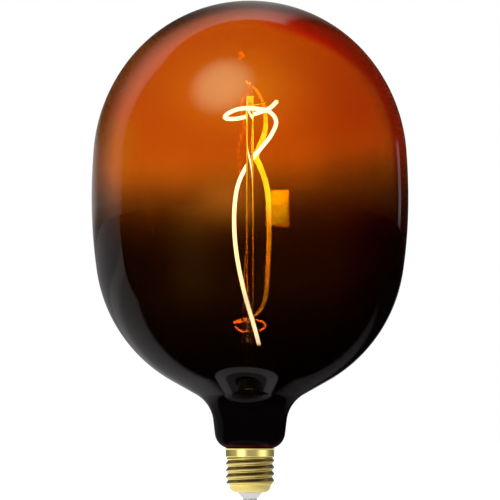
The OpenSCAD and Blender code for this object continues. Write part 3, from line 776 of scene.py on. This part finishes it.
class LAMP_OT_globe(bpy.types.Operator):
    """Blows the envelope: globe, neck, heel and tail in one closed wall"""
    bl_idname = "lamp.globe"
    bl_label = "Glass globe"

    def execute(self, context):
        globe = context.scene.lamp_globe
        sides = envelope_side(0, globe) + envelope_side(globe.wall, globe)[::-1]
        make_piece("globe_glass", revolve(sides, globe.turns),
                   smoked_glass(context.scene.lamp_glass), "envelope_glass", "glass_envelope")
        return {"FINISHED"}


class LAMP_OT_stem(bpy.types.Operator):
    """Makes the stem: flared tube, pinched seal, exhaust tube and the rod"""
    bl_idname = "lamp.stem"
    bl_label = "Glass stem"

    def execute(self, context):
        globe, glass = context.scene.lamp_globe, drawn_glass(*new_material("stem glass"))
        stem_r, wall = 6.5 * MM, 1 * MM
        flare_r = globe.tail_r - globe.wall - stem_r
        centre = Vector((stem_r + flare_r, TAIL_Z + flare_r))
        profile = ([(globe.tail_r, TAIL_Z - wall), (globe.tail_r, TAIL_Z)]
                   + arc(centre, flare_r, 270, 180, 5)
                   + [(stem_r, PRESS_FOOT), (stem_r - wall, PRESS_FOOT)]
                   + arc(centre, flare_r + wall, 180, 270, 5)[:-1])
        make_piece("stem_flare_glass", revolve(profile, 64), glass, "stem_glass", "stem_flare")

        # The press goes from the round tube to a flat end: shares of its height, and its scale
        flat_half, flat_r, sides = 4.75 * MM, 2.75 * MM, 64
        stack = ([(0, 0.92), (0.02, 1)] + [(k / 16, 1) for k in range(1, 15)]
                 + [(0.93, 1), (0.97, 0.96), (0.99, 0.9), (1, 0.8)])
        turns = [2 * pi * (k + 0.5) / sides for k in range(sides)]
        rings = []
        for share, scale in stack:
            flat = min(share / 0.5, 1)
            flat = flat * flat * (3 - 2 * flat)
            half, r = flat_half * flat, stem_r + (flat_r - stem_r) * flat
            z = PRESS_FOOT + share * (PRESS_TOP - PRESS_FOOT)
            rings.append([((copysign(half, cos(a)) + r * cos(a)) * scale,
                           r * sin(a) * scale, z) for a in turns])
        make_piece("stem_press_glass", loft(rings), glass, "stem_glass", "stem_press")

        outer, bore = 2 * MM, 1.2 * MM
        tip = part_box("exhaust_tube")[0].z + outer
        profile = (arc((0, tip), outer, -90, 0, 10)
                   + [(outer, PRESS_FOOT), (bore, PRESS_FOOT)]
                   + arc((0, tip), bore, 0, -90, 15))
        profile[0].x = profile[-1].x = 0
        make_piece("exhaust_tube_glass", revolve(profile, 32, closed=False), glass,
                   "stem_glass", "exhaust_tube")

        edge, r = 0.4 * MM, context.scene.lamp_filament.rod_r
        profile = ([(0, PRESS_TOP), (r, PRESS_TOP)]
                   + arc((r - edge, ROD_TOP - edge), edge, 0, 90, 10) + [(0, ROD_TOP)])
        make_piece("rod_glass", revolve(profile, 48, closed=False), rod_glass(), "stem_glass",
                   "glass_rod")
        return {"FINISHED"}


class LAMP_OT_leads(bpy.types.Operator):
    """Bends the lead wires and the support wire, and dresses the sealed-in and outer leads"""
    bl_idname = "lamp.leads"
    bl_label = "Lead wires"

    def execute(self, context):
        light = context.scene.lamp_filament
        nickel = metal("nickel wire", (0.66, 0.63, 0.58), (0.42, 0.38, 0.33), 0.28,
                       (2500, 2500, 90))
        path = filament_path(4)
        normals = normals_along(path, (1, 0, 0))
        gap, strip_t, lead_turn = 0.05 * MM, 0.15 * MM, 150
        weld = strip_t / 2 + gap
        out, anchor = light.rod_r + light.lead_r + gap, ROD_TOP - light.anchor_drop
        foot, side, last = Vector((0, 0, PRESS_TOP)), Vector((light.lead_x, 0, 0)), len(path) - 1
        first = path[0] - light.tab_back * tangent(path, 0) - weld * normals[0]
        low = path[last] + light.tab_back * tangent(path, last) + weld * normals[last]
        support = turned(lead_turn + 180, light.rod_r + 0.9 * MM, anchor)
        ways = {
            "long_lead_wire": [
                foot - side, foot - side + mm(-0.5, 0.8, 6), foot + mm(-4.1, 2.6, 31.92),
                foot + mm(-3.2, 2.6, 53.2), foot + turned(lead_turn, out, 76 * MM),
                turned(lead_turn, out, anchor - light.lead_r - gap)],
            "short_lead_wire": [
                foot + side, foot + side + mm(1, -0.6, 4), foot + mm(9.5, -4, 8),
                Vector((0, 0, low.z)) + mm(11, -7.5, -1.5),
                low + 2.2 * MM * normals[last] + mm(0, 0, 0.4), low],
            "support_wire": [
                turned(lead_turn, out + light.lead_r + 0.2 * MM, anchor), support,
                support + mm(2.2, 0.5, 0.5), first - 1.5 * MM * normals[0], first],
        }
        for node, points in ways.items():
            mesh = tube(node, points, nickel, light.lead_r, bend=2 * MM, rounding=0.1 * MM,
                        step=0.4 * MM, sides=16)
            make_piece(node + "_bent", mesh, nickel, "lead_metal", node)
        dress(metal("seal wire", (0.62, 0.22, 0.12), (0.35, 0.1, 0.06), 0.35), "seal_wires")
        dress(metal("tinned copper wire", (0.8, 0.55, 0.4), (0.6, 0.58, 0.55), 0.3),
              "outer_lead_wires")
        return {"FINISHED"}


class LAMP_OT_filament(bpy.types.Operator):
    """Lays the filament round the rod and dresses the strip, the chips and the tabs"""
    bl_idname = "lamp.filament"
    bl_label = "Filament"

    def execute(self, context):
        light = context.scene.lamp_filament
        phosphor = glowing_phosphor(light)
        mesh = tube("filament", filament_path(16), phosphor, light.jacket_d / 2, bend=0.0,
                    rounding=0.7 * MM, step=0.3 * MM, sides=20)
        make_piece("filament_glow", mesh, phosphor, "phosphor", "filament_jacket")
        dress(plastic("flexible strip", (0.8, 0.79, 0.74), (0.7, 0.69, 0.66), 0.45),
              "filament_strip")
        dress(plastic("chip", (0.1, 0.2, 0.42), (0.16, 0.28, 0.55), 0.2), "led_chips")
        dress(metal("end tab", (0.72, 0.7, 0.66), (0.5, 0.47, 0.42), 0.3), "upper_end_tab",
              "lower_end_tab")
        return {"FINISHED"}


class LAMP_OT_cap(bpy.types.Operator):
    """Presses the screw shell, turns the insulator and the contact, and dresses the solder and the
    cement
    """
    bl_idname = "lamp.cap"
    bl_label = "Screw cap"

    def execute(self, context):
        cap = context.scene.lamp_cap
        brass = stamped_brass(cap)
        sizes = {name: getattr(cap, name.lower().replace(" ", "_")) for name in SHELL_SIZES}
        mesh = run_shape_tree(shell_tree(), bpy.data.meshes.new("start"), {
            **sizes, "Rim Z": RIM_Z, "Around": 145, "Up": 190, "Material": brass}, cap.wall)
        make_piece("cap_brass", finish_mesh(mesh, 50), brass, "brass", "cap_shell")

        bed_r, roll_x, bed_angle = cap.roll_r - cap.wall - 0.1 * MM, cap.toe_r - cap.roll_r, 15
        contact_r, contact_h, solder_r, hole_r = 3.8 * MM, 1.2 * MM, 1 * MM, 0.9 * MM
        cone_r, bed_top = 7.2 * MM, cap.toe_z - bed_r * sin(radians(bed_angle))
        profile = ([(hole_r, contact_h), (contact_r, contact_h),
                    (cone_r, cap.toe_z - cap.roll_r), (cone_r, cap.toe_z - bed_r)]
                   + arc((roll_x, cap.toe_z), bed_r, -90, -bed_angle, 5)
                   + [(hole_r, bed_top)])
        enamel = plastic("insulator", (0.88, 0.87, 0.91), (0.82, 0.81, 0.86), 0.22, 500,
                         0.02 * MM)
        make_piece("cap_insulator_cone", revolve(profile, 96), enamel, "insulator", "cap_insulator")

        edge = 0.7 * MM
        profile = (arc((contact_r - edge, edge), edge, -90, 0, 10)
                   + [(contact_r, contact_h), (solder_r, contact_h), (solder_r, 0)])
        tin = metal("contact plate", (0.56, 0.56, 0.57), (0.4, 0.4, 0.4), 0.32, (1200, 1200, 1200))
        make_piece("contact_plate", revolve(profile, 96), tin, "contact", "centre_contact")
        dress(metal("solder", (0.62, 0.62, 0.63), (0.42, 0.42, 0.43), 0.4, (600, 600, 600),
                    0.08 * MM), "contact_solder")
        dress(plastic("cement", (0.66, 0.6, 0.5), (0.55, 0.49, 0.4), 0.85, 900, 0.1 * MM),
              "cap_cement")
        return {"FINISHED"}


class LAMP_OT_driver(bpy.types.Operator):
    """Dresses the driver hidden in the cap"""
    bl_idname = "lamp.driver"
    bl_label = "Driver"

    def execute(self, context):
        dress(plastic("driver holder", (0.035, 0.035, 0.038), (0.055, 0.055, 0.06), 0.5),
              "driver_holder")
        dress(circuit_board(), "driver_board")
        dress(plastic("moulded package", (0.018, 0.018, 0.02), (0.03, 0.03, 0.032), 0.55),
              "bridge_rectifier", "driver_chip")
        dress(metal("capacitor can", (0.6, 0.62, 0.66), (0.48, 0.5, 0.54), 0.25,
                    (60, 60, 1800)), "smoothing_capacitor")
        dress(wound_ferrite(), "choke")
        dress(plastic("resistor", (0.55, 0.4, 0.24), (0.47, 0.33, 0.19), 0.4), "fuse_resistor")
        dress(plastic("red sleeve", (0.42, 0.03, 0.02), (0.34, 0.02, 0.02), 0.4), "live_wire")
        dress(plastic("blue sleeve", (0.03, 0.08, 0.4), (0.02, 0.06, 0.32), 0.4), "shell_wire")
        return {"FINISHED"}


class LAMP_OT_studio(bpy.types.Operator):
    """Sets up the floor, the surround, the lamp and the camera"""
    bl_idname = "lamp.studio"
    bl_label = "Studio"

    def execute(self, context):
        studio = context.scene.lamp_studio
        self.surround(context.scene, studio)
        self.floor(studio)
        lamp = bpy.data.lights.new("softbox", "AREA")
        lamp.shape, lamp.size, lamp.energy = "DISK", 0.9, studio.lamp
        softbox = new_object("softbox", lamp)
        softbox.visible_glossy = softbox.visible_transmission = softbox.visible_camera = False
        self.aim(softbox, Vector((-0.5, -0.4, 2.2)), Vector((0, 0, 0.14)))

        place, middle = Vector((0, -studio.distance, studio.height)), Vector((0, 0, studio.aim))
        camera = bpy.data.cameras.new("camera")
        camera.sensor_width = 36
        camera.lens = camera.sensor_width * (middle - place).length / studio.view_width
        camera.clip_start, camera.clip_end = 0.05, 200
        view = new_object("camera", camera)
        self.aim(view, place, middle)
        context.scene.camera = view
        context.scene.view_settings.view_transform = "Standard"
        return {"FINISHED"}

    def aim(self, thing, place, at):
        thing.location = place
        thing.rotation_euler = (at - place).to_track_quat("-Z", "Y").to_euler()

    def rays(self, tree):
        """1 for a ray mirrored by clear glass, one that left glass, and one from the camera."""
        left_glass = tree.ray("Is Transmission Ray")
        return tree.mirrored(), left_glass, left_glass.other("Is Camera Ray")

    def towards(self, tree, where, direction):
        """The cosine of the angle to a direction, never below 0."""
        dot = tree.add("ShaderNodeVectorMath", {"operation": "DOT_PRODUCT"},
                       {0: where, 1: Vector(direction).normalized()}, out="Value")
        return tree.most(dot, 0)

    def strips(self, tree, where):
        """Two softboxes in front of the lamp, that the brass mirrors."""
        return (self.towards(tree, where, (-0.67, -0.74, 0)) ** 24 * 3
                + self.towards(tree, where, (0.89, -0.45, 0)) ** 15 * 1.35)

    def surround(self, scene, studio):
        """White behind the object, soft light on it, and a dark room in its clear glass.

        The room has a pale backdrop, a strip at its right, a softbox above, and a window that
        only light mirrored by the rear wall meets.
        """
        world = bpy.data.worlds.new("studio")
        world.use_nodes = True
        world.node_tree.nodes.clear()
        tree = Tree(world.node_tree)
        where = tree.add("ShaderNodeTexCoord", out="Generated")
        x, y, z = tree.apart(where)
        mirrored, left_glass, camera = self.rays(tree)

        behind = tree.ease(y - tree.most(z - 0.7, 0), 0.26, 0.35)
        side = tree.fall(y, 0.42, 0.86) * (0.24 + tree.ease(z, 0.1, 0.6) * 0.34)
        slant = x / tree.most(z, 0.01) - 0.08
        straight = tree.sum("EXPONENT", slant * slant * -10) * 0.38
        skyline = (tree.fall(z, 0.02, 0.15) * tree.ease(z, 0.004, 0.03, 0.4, 1)
                   * tree.ease(y, 0.8, 0.96, 0.15, 0.4) * tree.fall(x, 0, 0.14))
        strip = (tree.between(x / tree.most(y, 0.01), 0.72, 0.76, 0.88, 0.92) * behind
                 * tree.between(z, -0.03, 0.02, 0.09, 0.14) * 0.35)
        pale = (behind * tree.fall(x, 0.17, 0.26) * (side + skyline + straight) + strip
                + tree.ease(x, -0.1, 0.05, 0.02, 0.003))
        above = tree.ease(self.towards(tree, where, (-0.31, -0.53, 0.79)), 0.91, 1)
        room = tree.mix(pale, (0, 0, 0), (1, 0.97, 0.98))
        room = tree.mix(1, room, tree.mix(above, (0, 0, 0), (2.9, 3.3, 2)), "ADD")

        soft = (tree.ease(y, 0.1, 0.7, 0.42, 0.22) + tree.ease(z, 0.6, 0.95) * 0.9
                + self.strips(tree, where))
        lit = tree.mix(soft, (0, 0, 0), (1, 1, 1))
        twice = left_glass * tree.ease(tree.ray("Transmission Depth"), 2.2, 2.8)
        window = (tree.between(x, -0.49, -0.46, -0.23, -0.2) * tree.fall(y, -0.8, -0.7)
                  * tree.between(z, -0.02, 0, 0.1, 0.12) * twice)
        white = tree.mix(window, (1, 1, 1), (0.38, 1, 0.16))
        seen = tree.mix(tree.most(left_glass, camera), tree.mix(mirrored, lit, room), white)
        shader = tree.add("ShaderNodeBackground", {}, {
            "Color": seen, "Strength": window * studio.window + 1})
        tree.add("ShaderNodeOutputWorld", {}, {"Surface": shader})
        scene.world = world

    def floor(self, studio):
        """A pale floor that keeps the shadow, white where it is lit.

        Clear glass mirrors only its far part, and brass a darker one.
        """
        half, under = studio.floor_size / 2, -0.2 * MM
        mesh = bpy.data.meshes.new("floor")
        mesh.from_pydata([(-half, -half, under), (half, -half, under), (half, half, under),
                          (-half, half, under)], [], [(0, 1, 2, 3)])
        tree, where = new_material("pale floor")
        mirrored, left_glass, camera = self.rays(tree)
        glossy = tree.ray("Is Glossy Ray")
        x, y = tree.apart(where)[:2]
        grain = tree.noise(where, 300)
        paint = tree.add("ShaderNodeBsdfPrincipled", {}, {
            "Base Color": tree.mix(grain, (0.8, 0.8, 0.8), (0.84, 0.84, 0.84)),
            "Roughness": 0.9, "Specular IOR Level": 0})
        lift = tree.add("ShaderNodeEmission", {}, {
            "Color": (1, 1, 1), "Strength": tree.most(camera, left_glass) * 0.25 + 0.4
            + glossy * tree.ease(x, -20 * MM, 30 * MM, 0.25, -0.15)})

        turn = x / tree.most(y, 1 * MM)
        far = tree.between(y, 0.16, 0.28, 0.45, 0.57)
        aside = tree.most(tree.sum("ABSOLUTE", x) - 0.3, 0)
        beside = tree.ease(y, 0.12, 0.22, 0.3, 0.01) * tree.fall(turn, 1.4, 2.2)
        beside = beside + (1 - beside) * tree.fall(turn, 0.16, 0.28)
        pale = (tree.ease(y - aside * 0.37, 10 * MM, 32 * MM) * beside * (1 + far * 0.45)
                * studio.surround)
        out = tree.sum("SQRT", (x + 4 * MM) ** 2 + (y + 3 * MM) ** 2)
        rings = (tree.between(out, 20 * MM, 23 * MM, 32 * MM, 35 * MM) * 0.3
                 + tree.between(out, 10 * MM, 13 * MM, 20 * MM, 23 * MM) * 0.09)
        away = tree.add("ShaderNodeVectorMath", {"operation": "NORMALIZE"}, {0: where})
        distant = tree.ease(y, 0.1, 0.7, 0.42, 0.22) + self.strips(tree, away)
        dark = tree.add("ShaderNodeEmission", {}, {
            "Color": (1, 0.97, 0.98),
            "Strength": mirrored * (pale + rings) + (1 - mirrored) * distant})
        seen = tree.add("ShaderNodeMixShader", {}, {
            0: tree.most(mirrored, glossy * tree.ease(out, 0.1, 0.4)),
            1: tree.add("ShaderNodeAddShader", {}, {0: paint, 1: lift}), 2: dark})
        mesh.materials.append(tree.surface(seen))
        floor = new_object("floor", mesh)


STEPS = [LAMP_OT_globe, LAMP_OT_stem, LAMP_OT_leads, LAMP_OT_filament, LAMP_OT_cap,
         LAMP_OT_driver, LAMP_OT_studio]
GROUPS = {"lamp_globe": GlobeSizes, "lamp_glass": GlassLook, "lamp_cap": CapSizes,
          "lamp_filament": FilamentSizes, "lamp_studio": StudioSettings}


class LAMP_PT_panel(bpy.types.Panel):
    """Lists the steps of the lamp and their sizes"""
    bl_idname = "LAMP_PT_panel"
    bl_label = "Globe lamp"
    bl_space_type = "VIEW_3D"
    bl_region_type = "UI"
    bl_category = "Lamp"

    def draw(self, context):
        for step in STEPS:
            self.layout.operator(step.bl_idname)
        for place, group in GROUPS.items():
            box = self.layout.box()
            for name in group.__annotations__:
                box.prop(getattr(context.scene, place), name)


def register():
    for item in [*GROUPS.values(), *STEPS, LAMP_PT_panel]:
        bpy.utils.register_class(item)
    for place, group in GROUPS.items():
        setattr(bpy.types.Scene, place, PointerProperty(type=group))


def unregister():
    for place in GROUPS:
        delattr(bpy.types.Scene, place)
    for item in [LAMP_PT_panel, *STEPS[::-1], *list(GROUPS.values())[::-1]]:
        bpy.utils.unregister_class(item)


def main():
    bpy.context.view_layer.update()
    register()
    for step in STEPS:
        area, name = step.bl_idname.split(".")
        getattr(getattr(bpy.ops, area), name)()


if __name__ == "__main__":
    main()
